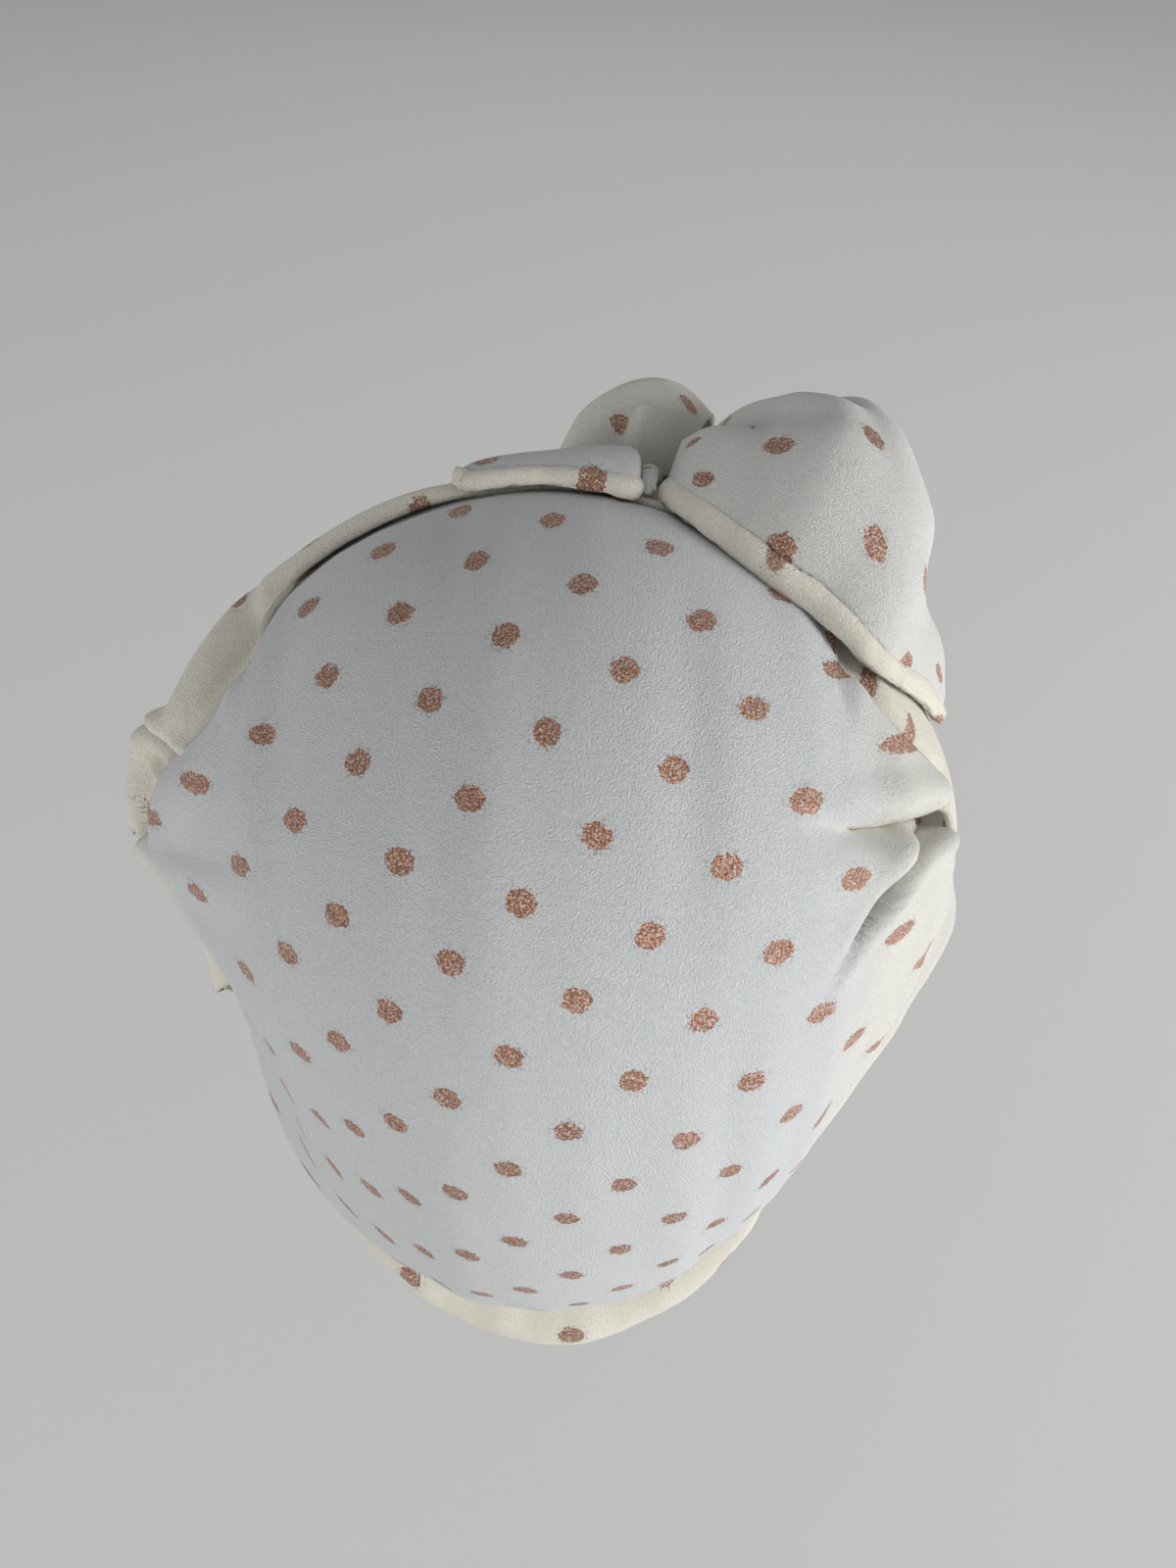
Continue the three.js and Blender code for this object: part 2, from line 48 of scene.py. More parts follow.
def makeCamera(settings):
    data = bpy.data.cameras.new("camera")
    data.sensor_fit = "VERTICAL"
    data.sensor_height = settings["filmHeight"]
    data.lens = settings["lens"]
    data.clip_start = 0.01
    camera = bpy.data.objects.new("camera", data)
    camera.location = [value * mm for value in settings["place"]]
    camera.rotation_euler = (math.radians(90 - settings["down"]), 0, math.pi)
    bpy.context.scene.collection.objects.link(camera)
    bpy.context.scene.camera = camera


makeCamera(cameraSettings)
print("camera set")


# The wrap's form, in millimetres. Angles are degrees round the line between the ears: 0 points
# back, 90 up, 180 forward. Across is degrees from the middle, 90 at the left ear.
form = {
    "headRadius": 100,
    "seamAngle": 112,
    "napeAngle": -57,
    "gatherTop": (0.04, 0.36),
    "gatherFoot": (0.13, 0.12),
    "restGap": 0.4,
    # the middle's profile fades towards the ears by this power of the cosine
    "middleFade": 1.5,
    # angle, radius as a share of the head radius
    "middle": [
        (-60, 1.3), (-48, 1.19), (-38, 1.13), (-28, 1.085), (-15, 1.045), (0, 1.015),
        (30, 1), (90, 1.005), (113, 1), (150, 0.98), (180, 0.97), (200, 0.97),
    ],
    # direction, swell as a share of the head radius, reach in degrees
    "swells": [
        ((0.8, 0.57, -0.13), -0.14, 33),
        ((-0.74, 0.62, -0.2), -0.085, 36),
        ((0.95, 0.12, 0.3), 0.06, 22),
        ((-0.95, 0.12, 0.28), 0.045, 22),
        ((0.91, 0.4, 0.03), -0.04, 15),
        ((0.86, 0.25, -0.44), -0.055, 22),
        ((-0.62, 0.4, -0.67), -0.06, 20),
    ],
}


def ease(low, high, value):
    t = np.clip((value - low) / (high - low), 0, 1)
    return t * t * (3 - 2 * t)


def mix(a, b, t):
    return a + (b - a) * t


# The value at a place, from rows of (place, value), along a smooth curve through them
def curveThrough(rows, at):
    keys = np.array([row[0] for row in rows], float)
    values = np.array([row[1] for row in rows], float)
    return smoothCurve(keys, values, at)


def smoothCurve(keys, values, at):
    low = np.concatenate([[0], np.arange(len(keys) - 1)])
    high = np.concatenate([np.arange(1, len(keys)), [len(keys) - 1]])
    slopes = (values[high] - values[low]) / (keys[high] - keys[low])
    place = np.clip(at, keys[0], keys[-1])
    row = np.clip(np.searchsorted(keys, place, side="left") - 1, 0, len(keys) - 2)
    span = keys[row + 1] - keys[row]
    t = (place - keys[row]) / span
    pull = t * (1 - t) * (1 - t) * span * slopes[row] + t * t * (t - 1) * span * slopes[row + 1]
    return mix(values[row], values[row + 1], t * t * (3 - 2 * t)) + pull


def unit(vectors):
    return vectors / np.linalg.norm(vectors, axis=-1, keepdims=True)


def directionAt(across, angle):
    across, angle = np.broadcast_arrays(across, angle)
    middle = np.cos(across * degree)
    return np.stack(
        [np.sin(across * degree), middle * np.cos(angle * degree), middle * np.sin(angle * degree)], -1
    )


def anglesOf(direction):
    turn = np.arctan2(direction[..., 2], direction[..., 1]) / degree
    across = np.arcsin(np.clip(direction[..., 0], -1, 1)) / degree
    return across, np.where(turn < -90, turn + 360, turn)


def formRadius(direction):
    across, angle = anglesOf(direction)
    fade = np.cos(across * degree) ** form["middleFade"]
    share = 1 + (curveThrough(form["middle"], angle) - 1) * fade
    for towards, swell, reach in form["swells"]:
        dot = direction @ unit(np.array(towards))
        away = np.arccos(np.clip(dot, -1, 1)) / degree
        share = share + swell * np.exp(-((away / reach) ** 2))
    return form["headRadius"] * share


def formPoint(direction, lift):
    return direction * (formRadius(direction) + lift)[..., None]


# Cells each way in the table that a cloth's unevenness is drawn from
unevenCells = 64


# Smooth, seeded unevenness of a cloth, from -1 to 1, over two coordinates in cells
def unevenness(u, v, seed):
    table = np.random.default_rng(seed).uniform(-1, 1, (unevenCells, unevenCells))
    i, j = np.floor(u).astype(int), np.floor(v).astype(int)
    a, b = u - i, v - j
    a, b = a * a * (3 - 2 * a), b * b * (3 - 2 * b)
    at = lambda p, q: table[(i + p) % unevenCells, (j + q) % unevenCells]
    return mix(mix(at(0, 0), at(1, 0), a), mix(at(0, 1), at(1, 1), a), b)


# A curve through points with even, rounded turns, as the cloth's edges run
def edgeCurve(points, samples=800):
    points = np.array(points, float)
    count = len(points)
    place = np.linspace(0, 1, samples) * (count - 1)
    first = np.minimum(np.floor(place).astype(int), count - 2)
    t = (place - first)[:, None]
    padded = np.concatenate([[2 * points[0] - points[1]], points, [2 * points[-1] - points[-2]]])
    p0, p1, p2, p3 = (padded[first + k] for k in range(4))
    step = lambda a, b: np.sqrt(np.linalg.norm(b - a, axis=-1))[:, None]
    d0, d1, d2 = step(p0, p1), step(p1, p2), step(p2, p3)
    start = ((p1 - p0) / d0 - (p2 - p0) / (d0 + d1) + (p2 - p1) / d1) * d1
    end = ((p2 - p1) / d1 - (p3 - p1) / (d1 + d2) + (p3 - p2) / d2) * d1
    square = -3 * p1 + 3 * p2 - 2 * start - end
    cube = 2 * p1 - 2 * p2 + start + end
    return p1 + start * t + square * t**2 + cube * t**3


# Half of an edge mirrored to the whole, from the right end to the left
def mirrored(left):
    return np.concatenate([left[:0:-1] * np.array([-1, 1, 1]), left])


def curveAt(curve, share):
    place = np.clip(share, 0, 1) * (len(curve) - 1)
    first = np.minimum(np.floor(place).astype(int), len(curve) - 2)
    t = (place - first)[..., None]
    return mix(curve[first], curve[first + 1], t)


# A value that passes through three others, at shares 0, a half and 1
def bend(share, start, middle, end):
    pull = 2 * middle - (start + end) / 2
    return (1 - share) ** 2 * start + 2 * share * (1 - share) * pull + share**2 * end


def hump(off, at, width):
    return np.exp(-(((off - at) / width) ** 2))


# The section of a fold, in its widths from the valley's line: a ridge on one side, a lower swell
# on the other, a steep wall under the ridge and a softer one opposite. A fold runs on a little
# past its start, and fades from a share of its length to its end.
foldSection = {
    "marks": 60,
    "ridgeAt": 1,
    "ridgeWidth": 0.9,
    "swellAt": -2.1,
    "swellShare": 0.5,
    "steepWidth": 0.6,
    "softWidth": 1.1,
    "leanAt": 0.8,
    "runsOn": 0.3,
    "fadesFrom": 0.4,
}


# A fold of the cloth along a curve over the head. It starts, passes and ends at (across, angle).
# The ridge stands beside the valley, on its left (side 1) or right (side -1) for someone who
# walks along it, and leans over it. Height, depth, width and lean are shares of the head radius.
def foldShape(direction, fold):
    start, passing, end, side, height, depth, width, lean = fold
    section = foldSection
    t = np.linspace(0, 1, section["marks"])
    marks = directionAt(bend(t, start[0], passing[0], end[0]), bend(t, start[1], passing[1], end[1]))
    flat = direction.reshape(-1, 3)
    nearest = np.argmax(flat @ marks.T, axis=1)
    after = np.clip(nearest + 1, 1, len(marks) - 1)
    run = unit(marks[after] - marks[after - 1])
    left = unit(np.cross(marks[nearest], run))
    away = flat - marks[nearest]
    beyond = np.abs(np.sum(away * run, 1)) / width
    runsOut = np.exp(-np.maximum(beyond - section["runsOn"], 0) ** 2)
    strength = runsOut * (1 - ease(section["fadesFrom"], 1, t[nearest]))
    off = side * np.sum(away * left, 1) / width
    swell = section["swellShare"] * hump(off, section["swellAt"], section["ridgeWidth"])
    ridge = height * (hump(off, section["ridgeAt"], section["ridgeWidth"]) + swell)
    wall = np.where(off > 0, section["steepWidth"], section["softWidth"])
    valley = depth * hump(off, 0, wall)
    over = lean * hump(off, section["leanAt"], section["ridgeWidth"])
    lift = (strength * (ridge - valley)).reshape(direction.shape[:-1])
    push = (-side * (strength * over)[:, None] * left).reshape(direction.shape)
    return lift * form["headRadius"], push * form["headRadius"]


def allFolds(direction, folds):
    lift, push = np.zeros(direction.shape[:-1]), np.zeros(direction.shape)
    for fold in folds:
        oneLift, onePush = foldShape(direction, fold)
        lift, push = lift + oneLift, push + onePush
    return lift, push


# The front band. Lengths are shares of the head radius, apart from the wall, the tuck and the
# bow's settling, which are millimetres.
band = {
    "wall": 2,
    # rear edge as (across, angle), from the right ear to the left
    "rear": [
        (-70, -45), (-77, -18), (-78, 20), (-76, 44), (-71, 58), (-64, 63.5), (-58, 64),
        (-53, 65.5), (-48, 68), (-43, 73.5), (-40.5, 80), (-38.8, 86), (-35.5, 95.5), (-30, 99.5),
        (-15, 104), (0, 107), (15, 104), (30, 99.5), (35.5, 95.5), (38.8, 86), (40.5, 79.5),
        (43, 71.5), (46, 66), (52, 61.5), (58, 61.5), (64, 62.5), (70, 59), (75, 46), (78, 20),
        (77, -18), (70, -45),
    ],
    # past its ends the band counts as ended, more steeply the further out
    "endReach": 0.05,
    "endSlope": 3,
    # the roll stands along the rear edge, and further forward beside the gathers
    "rollWidth": 0.1,
    "rollCurve": 0.7,
    "rollAside": 0.12,
    "asideFrom": (32, 52),
    "asideTo": (60, 70),
    # across, height of the roll
    "roll": [
        (-90, 0), (-40, 0), (4, 0), (16, 0.03), (35, 0.035), (50, 0.05), (70, 0.045), (80, 0.01),
    ],
    # left half of the brow edge, as points
    "brow": [
        (0, -0.975, 0), (0.39, -0.89, -0.01), (0.66, -0.65, -0.05), (0.8, -0.34, -0.12),
        (0.855, -0.04, -0.22), (0.845, 0.13, -0.36),
    ],
    "browReach": 0.5,
    # angle at the ear, angle at the knot, depth, width
    "pleats": [
        (172, 164, 0.016, 0.045), (158, 148, 0.024, 0.04), (142, 134, 0.024, 0.04),
        (124, 122, 0.02, 0.035),
    ],
    # start, middle and end as (across, angle), side of the ridge, height, depth, width, lean
    "folds": [
        ((51, 64), (56, 82), (49, 101), -1, 0.03, 0.085, 0.033, 0),
        ((57, 66), (60, 75), (58, 86), 1, 0.015, 0.03, 0.022, 0),
    ],
    "pleatEnds": (55, 78),
    "pleatFan": (4, 70),
    "knotAcross": -19,
    "tuck": 3.4,
    "tuckFades": (0.04, 0.12),
    "bowSettle": 0.8,
    "bowSettles": (-0.15, -0.02),
    # the painted warm light on the roll ends this far in front of the rear edge, and further beside
    # the gathers
    "warmLit": (0.07, 0.12),
    "warmLitAside": 0.22,
    "along": 260,
    "up": 110,
    "crowdToRear": 0.8,
    "flat": (0.33, 0.13),
}
rearCurve = edgeCurve([directionAt(*row) for row in band["rear"]])
rearMarks = unit(rearCurve[::4])
browCurve = edgeCurve(mirrored(np.array(band["brow"]) * form["headRadius"]))


# How far in front of the band's rear edge a direction lies, below 0 behind it and past its ends
def pastRear(direction):
    flat = direction.reshape(-1, 3)
    atOnce = 4000
    result = np.empty(len(flat))
    for start in range(0, len(flat), atOnce):
        part = flat[start : start + atOnce]
        nearest = np.argmax(part @ rearMarks.T, axis=1)
        after = np.minimum(nearest + 1, len(rearMarks) - 1)
        run = unit(rearMarks[after] - rearMarks[after - 1])
        forward = unit(np.cross(run, rearMarks[nearest]))
        away = part - rearMarks[nearest]
        over = np.maximum(np.abs(np.sum(away * run, 1)) - band["endReach"], 0)
        result[start : start + atOnce] = np.sum(away * forward, 1) - band["endSlope"] * over
    return result.reshape(direction.shape[:-1])


# At the sides the crown's edge lies over the band, elsewhere the band lies over the crown. The
# crown's edge comes out and goes back under between these degrees across, and only above the ears.
crossing = {"comesOut": (37.7, 41), "goesUnder": (60, 65), "aboveEar": (15, 40)}


def besideGather(direction):
    across, angle = anglesOf(direction)
    side = np.abs(across)
    out = ease(*crossing["comesOut"], side) * (1 - ease(*crossing["goesUnder"], side))
    return out * ease(*crossing["aboveEar"], angle)


# How far the band lies under the crown's edge there
def bandTuck(direction):
    fades = 1 - ease(*band["tuckFades"], pastRear(direction))
    return band["tuck"] * besideGather(direction) * fades


def bandLift(direction):
    across, angle = anglesOf(direction)
    middle = np.cos(across * degree)
    side = np.abs(across)
    ends = 1 - ease(*band["pleatEnds"], side)
    fromKnot = ease(*band["pleatFan"], np.abs(across - band["knotAcross"]))
    lift = np.zeros_like(across)
    for ear, knot, depth, width in band["pleats"]:
        off = (angle - mix(knot, ear, fromKnot)) * degree * middle / width
        lift = lift + depth * ends * np.exp(-(off**2))
    aside = ease(*band["asideFrom"], side) * (1 - ease(*band["asideTo"], side))
    fromRoll = (pastRear(direction) - band["rollAside"] * aside) / band["rollWidth"]
    arch = np.sin(math.pi * np.clip(fromRoll, 0, 1) ** band["rollCurve"])
    lift = lift + curveThrough(band["roll"], across) * arch
    gathered = allFolds(direction, band["folds"])[0]
    onHead = form["restGap"] + band["wall"]
    return onHead + lift * form["headRadius"] + gathered - bandTuck(direction)


# The crown bag. Its front edge lies under the band at the top and on the band at the sides.
# Folds run out from its side gathers. The wall, the lift over the band and the sinking under it
# are millimetres.
crown = {
    "wall": 1.6,
    # front edge as (across, angle), from the right ear to the left
    "front": [
        (-80, 46), (-70, 52), (-64, 60), (-58, 68.5), (-50, 71), (-43, 76), (-40, 79.5), (-38.8, 84),
        (-37.5, 91.5), (-35, 103), (-31, 112), (31, 112), (35, 103), (37.5, 91.5), (38.8, 84),
        (40, 79), (43, 74.5), (46, 71.5), (54, 69.5), (59, 66.5), (64, 59), (70, 52), (80, 46),
    ],
    # the same edge without its steps, which the rows of the mesh follow up to their last part
    "rows": [(0, 112), (31, 104), (40, 90), (50, 77), (58, 69), (64, 60), (80, 46)],
    "rowsFollow": 0.75,
    "overBand": 2,
    "edgeReach": 0.16,
    "sink": 0.9,
    "sinks": (-0.05, -0.01),
    "reach": 88,
    "crowding": 0.3,
    "across": 300,
    "around": 160,
    "flat": (0.28, 0.24),
    # painted warm light, that is how cream the cloth looks, and from where to where: on the lit
    # ridges and in the shaded mouths of folds by lift in millimetres, on the lit right side by the
    # sine of across
    "warmLightRidges": (0.6, 1.4, 3),
    "warmLightMouths": (0.8, -1.5, -4),
    "warmLightRight": (0.6, 0.55, 0.85),
    # start, middle and end as (across, angle), side of the ridge, height, depth, width, lean
    "folds": [
        ((-66, 67), (-49, 56.5), (-27, 52), -1, 0.03, 0.095, 0.044, 0.02),
        ((-63, 63), (-51, 52.5), (-40, 47), 1, 0.012, 0, 0.03, 0),
        ((-63, 57), (-48.5, 43), (-33, 26), 1, 0.03, 0.055, 0.023, 0.01),
        ((-68, 20), (-58, -10), (-45, -25), 1, 0.015, 0.015, 0.06, 0),
        ((66, 70), (51, 72), (35, 92), 1, 0.02, 0.01, 0.05, 0.01),
        ((70, 60), (52, 50), (32, 48), -1, 0.012, 0.012, 0.07, 0),
        ((70, 42), (56, 20), (42, 4), 1, 0.02, 0.02, 0.07, 0),
        ((62, 20), (54, -8), (46, -30), 1, 0.015, 0.015, 0.06, 0),
    ],
}


def crownFront(across):
    return curveThrough(crown["front"], across)


def crownDirection(angle, across):
    share = np.clip((form["seamAngle"] - angle) / (form["seamAngle"] - form["napeAngle"]), 0, 1)
    towards = (1 - np.cos(across * degree)) ** 2
    direction = directionAt(across, angle)
    direction[..., 1] += towards * mix(form["gatherTop"][0], form["gatherFoot"][0], share)
    direction[..., 2] += towards * mix(form["gatherTop"][1], form["gatherFoot"][1], share)
    return unit(direction)


# Fine drape that the side gathers send over the crown. Heights are millimetres, cells degrees.
ripples = {
    "rays": {"height": 1.6, "cells": (9, 45), "start": (20, 9), "seed": 3},
    "soft": {"height": 1.8, "cells": (26, 30), "start": (8, 7), "seed": 5},
    "hang": {"height": 0.7, "cells": (5.5, 55), "start": (30, 11), "seed": 8},
    "rayEnd": (0.2, 0.95),
    "fromNape": (0, 14),
    "toFront": (92, 106),
    "offGather": (0.03, 0.2),
}


def ripple(row, first, second):
    u = first / row["cells"][0] + row["start"][0]
    v = second / row["cells"][1] + row["start"][1]
    return unevenness(u, v, row["seed"]) * row["height"]


def crownRipples(angle, across):
    fromGather = np.cos(across * degree)
    rays = ripple(ripples["rays"], angle, across) * (1 - ease(*ripples["rayEnd"], fromGather))
    soft = ripple(ripples["soft"], across, angle)
    hang = ripple(ripples["hang"], across, angle)
    fromNape = ease(*ripples["fromNape"], angle - form["napeAngle"])
    edges = fromNape * (1 - ease(*ripples["toFront"], angle))
    return (rays + soft + hang) * edges * ease(*ripples["offGather"], fromGather)


def crownPoint(angle, across):
    direction = crownDirection(angle, across)
    lift, push = allFolds(direction, crown["folds"])
    beside = besideGather(direction)
    covered = ease(*crown["sinks"], pastRear(direction)) * (1 - beside)
    behindEdge = (crownFront(across) - angle) * degree * np.cos(across * degree)
    over = crown["overBand"] * beside * (1 - ease(0, crown["edgeReach"], behindEdge))
    bare = lift + crownRipples(angle, across) + over
    lifted = mix(bare, np.minimum(lift, 0) - crown["sink"], covered)
    return formPoint(direction, lifted) + push * (1 - covered)[..., None]


# How much painted warm light a row gives to a value
def warmLightAt(row, value):
    share, low, high = row
    return share * ease(low, high, value)


# Painted warm light: the cloth is made creamier on the lit ridges, in the shaded mouths of the
# deep folds, and on the lit right side
def crownWarmLight(angle, across):
    lift = allFolds(crownDirection(angle, across), crown["folds"])[0]
    folded = np.maximum(warmLightAt(crown["warmLightRidges"], lift), warmLightAt(crown["warmLightMouths"], lift))
    return np.maximum(folded, warmLightAt(crown["warmLightRight"], -np.sin(across * degree)))


def bandPoint(along, share):
    rim = curveAt(browCurve, along)
    rear = unit(curveAt(rearCurve, along))
    rimWay = unit(rim)
    turn = np.arccos(np.clip(np.sum(rimWay * rear, -1), -1, 1))
    direction = unit(
        rimWay * np.sin((1 - share) * turn)[..., None] + rear * np.sin(share * turn)[..., None]
    )
    rimLift = np.linalg.norm(rim, axis=-1) - formRadius(rimWay)
    rimFades = 1 - ease(0, band["browReach"], share)
    return formPoint(direction, bandLift(direction) + rimLift * rimFades)


bowWall = 1.8


# What the bow rests on: the crown behind the band, and the band or the crown's edge on it
def groundLift(direction):
    onBand = bandLift(direction) + bandTuck(direction) - band["bowSettle"]
    return mix(form["restGap"], onBand, ease(*band["bowSettles"], pastRear(direction)))


# A place on a piece of the bow, from its sections, at a share along the bow and over its arch
def bowPoint(piece, share, over):
    keys = np.array([row[0] for row in piece["sections"]], float)
    columns = np.array([[*row[1], *row[2], *row[3]] for row in piece["sections"]], float)
    at = [smoothCurve(keys, column, share) for column in columns.T]
    rearX, rearA, topX, topA, top, frontX, frontA = at
    direction = directionAt(bend(over, rearX, topX, frontX), bend(over, rearA, topA, frontA))
    rise = top * form["headRadius"] * np.sin(math.pi * over) ** piece["fullness"]
    rise = rise + allFolds(direction, piece["folds"])[0]
    return formPoint(direction, np.maximum(groundLift(direction), rise) + bowWall)


# Foil dots are printed on the cloth in rows. A place on the cloth is counted in dots: along a row,
# and from row to row. Steps are in millimetres.
dots = {"rowStep": (16.5, 12.3), "nextRow": (9.1, -20.6), "radius": 2.8}


def inDots(u, v):
    steps = np.array([dots["rowStep"], dots["nextRow"]], float).T
    across = np.linalg.inv(steps)
    return across[0, 0] * u + across[0, 1] * v, across[1, 0] * u + across[1, 1] * v


# How the crown's cloth lies over the form, from the middle of the back, counted in dots: the
# place there, the steps across and up, and how the cloth is eased towards the side gathers
crownCloth = {
    "middle": 35,
    "firstDot": (-1.246, 0.614),
    "acrossHead": (5.1, 3.23),
    "upHead": (2.9, -3.64),
    "gatherEase": 0.26,
    "easeTo": 0.8,
    "crownEase": 0.08,
    "sideSpread": 0.23,
    "slant": (-0.43, -0.33, -0.78),
    "slantRows": (0.1, -0.12, 0.1),
    "farthest": (1.25, 2),
}


def crownClothPlace(direction):
    turn = crownCloth["middle"] * degree
    toMiddle = direction[..., 1] * math.cos(turn) + direction[..., 2] * math.sin(turn)
    away = np.arccos(np.clip(toMiddle, -1, 1))
    spread = away / np.maximum(np.sin(away), 1e-6)
    x = -direction[..., 0] * spread
    y = (direction[..., 2] * math.cos(turn) - direction[..., 1] * math.sin(turn)) * spread
    farX, farY = crownCloth["farthest"]
    x, y = np.clip(x, -farX, farX), np.clip(y, -farY, farY)
    easing, easeTo = crownCloth["gatherEase"], crownCloth["easeTo"]
    held = np.clip(x, -easeTo, easeTo)
    eased = held * (1 - easing * held**2) + (x - held) * (1 - 3 * easing * easeTo**2)
    eased = eased - crownCloth["crownEase"] * held * y * y
    high = y * (1 + crownCloth["sideSpread"] * x * x)
    place = []
    for first, rowAcross, rowUp, slant in zip(
        crownCloth["firstDot"],
        crownCloth["acrossHead"],
        crownCloth["upHead"],
        (crownCloth["slant"], crownCloth["slantRows"]),
    ):
        drift = slant[0] * x * x + slant[1] * x * y + slant[2] * y * y
        place.append(first + rowAcross * eased + rowUp * (high if rowUp < 0 else y) + drift)
    return place


# Outward normals of a grid of points
def normalsOf(points):
    along, up = np.gradient(points, axis=0), np.gradient(points, axis=1)
    normals = np.cross(along, up)
    normals = normals / np.maximum(np.linalg.norm(normals, axis=-1, keepdims=True), 1e-9)
    return normals * np.sign(np.sum(normals * points, -1).mean())


# How far each point lies from its row's start, over the cloth
def fromEdge(points):
    steps = np.linalg.norm(np.diff(points, axis=0), axis=-1)
    return np.concatenate([np.zeros((1, points.shape[1])), np.cumsum(steps, axis=0)])


# A turned hem, in millimetres: a soft roll at the edge, a stitch line pulled into the cloth
# behind it, and puckers. Its width and the stitches' pull vary by a share.
turnedHem = {
    "roll": 1.3,
    "rollCurve": 0.7,
    "uneven": 0.18,
    "unevenCell": 14,
    "unevenSeed": 21,
    "groove": 0.7,
    "grooveBehind": 0.4,
    "grooveWidth": 0.6,
    "stitch": 2.6,
    "stitchPull": 0.25,
    "pucker": 0.3,
    "puckerCells": (3.5, 9),
    "puckerReach": 1.6,
    "puckerSeed": 22,
}


def hemmed(points, width):
    hem = turnedHem
    away = fromEdge(points)
    run = fromEdge(np.swapaxes(points, 0, 1)).T
    varied = unevenness(run / hem["unevenCell"] + 3, 0 * run, hem["unevenSeed"])
    wide = width * (1 + hem["uneven"] * varied)
    roll = hem["roll"] * np.sin(math.pi * np.clip(away / wide, 0, 1)) ** hem["rollCurve"]
    pulled = 1 - hem["stitchPull"] + hem["stitchPull"] * np.cos(2 * math.pi * run / hem["stitch"])
    groove = hem["groove"] * hump(away - wide, hem["grooveBehind"], hem["grooveWidth"]) * pulled
    alongCell, awayCell = hem["puckerCells"]
    puckers = unevenness(run / alongCell, away / awayCell, hem["puckerSeed"])
    puckers = hem["pucker"] * puckers * hump(away / wide, 0, hem["puckerReach"])
    return points + normalsOf(points) * (roll - groove + puckers)[..., None], away / wide


# A sheet of cloth from a grid of its outer points, with its place in dots and how much painted
# warm light it has
def makeCloth(name, points, place, warmLight, wall, material):
    rows, columns = points.shape[:2]
    number = np.arange(rows * columns).reshape(rows, columns)
    corners = [number[:-1, :-1], number[1:, :-1], number[1:, 1:], number[:-1, 1:]]
    faces = np.stack(corners, -1).reshape(-1, 4)
    mesh = bpy.data.meshes.new(name)
    mesh.from_pydata((points.reshape(-1, 3) * mm).tolist(), [], faces.tolist())
    uv = mesh.uv_layers.new(name="cloth")
    flat = np.stack([np.broadcast_to(p, (rows, columns)).ravel() for p in place], -1)
    uv.data.foreach_set("uv", flat[faces.ravel()].ravel())
    # how much painted warm light each point has, from 0 to 1
    tone = mesh.attributes.new("warmLight", "FLOAT", "POINT")
    tone.data.foreach_set("value", np.broadcast_to(warmLight, (rows, columns)).ravel().astype(np.float32))
    piece = bpy.data.objects.new(name, mesh)
    bpy.context.scene.collection.objects.link(piece)
    bpy.ops.object.select_all(action="DESELECT")
    piece.select_set(True)
    bpy.context.view_layer.objects.active = piece
    solid = piece.modifiers.new("wall", "SOLIDIFY")
    solid.thickness = wall * mm
    solid.offset = -1
    bpy.ops.object.modifier_apply(modifier="wall")
    bpy.ops.object.shade_smooth()
    mesh.materials.append(material)
    print(f"{name}: {len(mesh.polygons)} faces")
    return piece


def dress(piece, node):
    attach(piece, "root")
    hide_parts(node)


def linear(hexColour):
    channels = [int(hexColour[k : k + 2], 16) / 255 for k in (1, 3, 5)]
    return [c / 12.92 if c <= 0.04045 else ((c + 0.055) / 1.055) ** 2.4 for c in channels] + [1]


# One node with its settings and what feeds it
def addNode(tree, kind, settings=None, feeds=None):
    node = tree.nodes.new(kind)
    for key, value in (settings or {}).items():
        setattr(node, key, value)
    for socket, value in (feeds or {}).items():
        if isinstance(value, bpy.types.NodeSocket):
            tree.links.new(value, node.inputs[socket])
        else:
            node.inputs[socket].default_value = value
    return node


# Woven polyester crepe: a matt, pebbled, slightly warm white, with painted shade in the grain's
# pits and painted warm light on its lit ridges, hems and sides and in the mouths of folds. The
# dots are rose gold foil pressed into it: a thin metal film painted in dark facets for unlit foil
# and bright facets for glints, with a ragged edge and small gaps where the crepe's grain breaks
# it, and loose flecks round it. Sizes are millimetres. The grain is drawn about as coarse as the
# crepe's pebbles look in the photograph.
crepe = {
    "cloth": "#d8dadb",
    # painted warm light: the cream the cloth is mixed towards where it is lit, and in the mouths of
    # folds
    "warmLight": "#efeadb",
    # painted shade in the grain's pits: the tone they are darkened towards, where, and how much
    "pitShade": "#aab0b4",
    "pitShadeFrom": (0.35, 0.6),
    "pitShadeShow": 0.28,
    "grain": 0.4,
    "grainDepth": 0.55,
    "grainStrength": 0.95,
    "roughness": 0.78,
    "sheen": 0.15,
    "sheenRoughness": 0.5,
}
foil = {
    # painted glints and unlit patches: the colours of the foil's dark and bright facets, and where the
    # bright ones begin
    "foilUnlit": "#8e6350",
    "foilGlint": "#e0b79e",
    "facet": 0.45,
    "glintFrom": (0.45, 0.66),
    "narrow": 0.9,
    "jagSize": 1.3,
    "jag": 2.2,
    "edge": 0.12,
    "gap": 0.55,
    "gapsTo": (0.33, 0.42),
    "fleck": "#6d5a52",
    "fleckSize": 0.7,
    "fleckOver": 0.6,
    "flecksFrom": 2.2,
    "flecksTo": -0.4,
    "flecksShow": 0.55,
    "metallic": 0.85,
    "smoother": 0.35,
}


